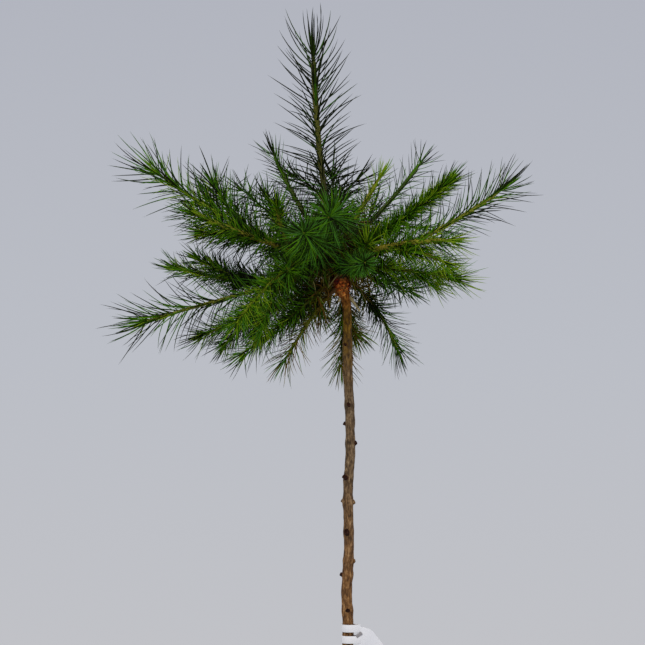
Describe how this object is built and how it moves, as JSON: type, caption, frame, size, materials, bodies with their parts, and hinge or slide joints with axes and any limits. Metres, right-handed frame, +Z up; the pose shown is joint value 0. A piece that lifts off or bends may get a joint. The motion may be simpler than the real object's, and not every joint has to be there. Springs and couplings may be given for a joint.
{
  "type": "potted dwarf larch grafted on a tall stem",
  "caption": "Young dwarf larch standard: a slim bare stem with a graft union, a star-shaped head of bottle-brush needled shoots, and a plain round nursery pot filled with soil.",
  "frame": {"origin": "middle of the pot's flat underside", "axes": "+Z up along the stem, -Y towards the viewer of the picture, +X to the viewer's right"},
  "size_m": [0.3839, 0.3398, 1.0042],
  "materials": {
    "pot_plastic": "dark grey moulded polypropylene, slightly rough",
    "soil": "dark fibrous potting soil with bark chips",
    "stem_bark": "dull brown-grey bark with fine cracks, dark spur knots and a flaky red-brown graft union",
    "bough_bark": "smooth young olive to orange-brown bark",
    "needles": "soft fresh green needles, satin, on yellow-green shoots",
    "tag_plastic": "blank white label film"
  },
  "bodies": {
    "root": {"pot": "pot_plastic", "soil": "soil", "trunk": "stem_bark", "tag": "tag_plastic", "bough_leader": "bough_bark", "foliage_leader": "needles", "bough_west_spire": "bough_bark", "foliage_west_spire": "needles", "bough_east_spire": "bough_bark", "foliage_east_spire": "needles", "bough_back_high": "bough_bark", "foliage_back_high": "needles", "bough_front_centre": "bough_bark", "foliage_front_centre": "needles", "bough_east_dark": "bough_bark", "foliage_east_dark": "needles", "bough_back_west": "bough_bark", "foliage_back_west": "needles", "bough_west_high": "bough_bark", "foliage_west_high": "needles", "bough_east_mid": "bough_bark", "foliage_east_mid": "needles", "bough_front_west": "bough_bark", "foliage_front_west": "needles", "bough_back_east": "bough_bark", "foliage_back_east": "needles", "bough_east_long": "bough_bark", "foliage_east_long": "needles", "bough_west_front": "bough_bark", "foliage_west_front": "needles", "bough_west_mid": "bough_bark", "foliage_west_mid": "needles", "bough_east_front": "bough_bark", "foliage_east_front": "needles", "bough_back_centre": "bough_bark", "foliage_back_centre": "needles", "bough_front_east": "bough_bark", "foliage_front_east": "needles", "bough_west_low_long": "bough_bark", "foliage_west_low_long": "needles", "bough_back_east_low": "bough_bark", "foliage_back_east_low": "needles", "bough_east_low": "bough_bark", "foliage_east_low": "needles", "bough_front_low_west": "bough_bark", "foliage_front_low_west": "needles", "bough_back_low_west": "bough_bark", "foliage_back_low_west": "needles", "bough_west_low_short": "bough_bark", "foliage_west_low_short": "needles", "bough_low_front": "bough_bark", "foliage_low_front": "needles", "bough_droop_east": "bough_bark", "foliage_droop_east": "needles", "bough_droop_back": "bough_bark", "foliage_droop_back": "needles", "bough_droop_west": "bough_bark", "foliage_droop_west": "needles"}
  },
  "joints": []
}
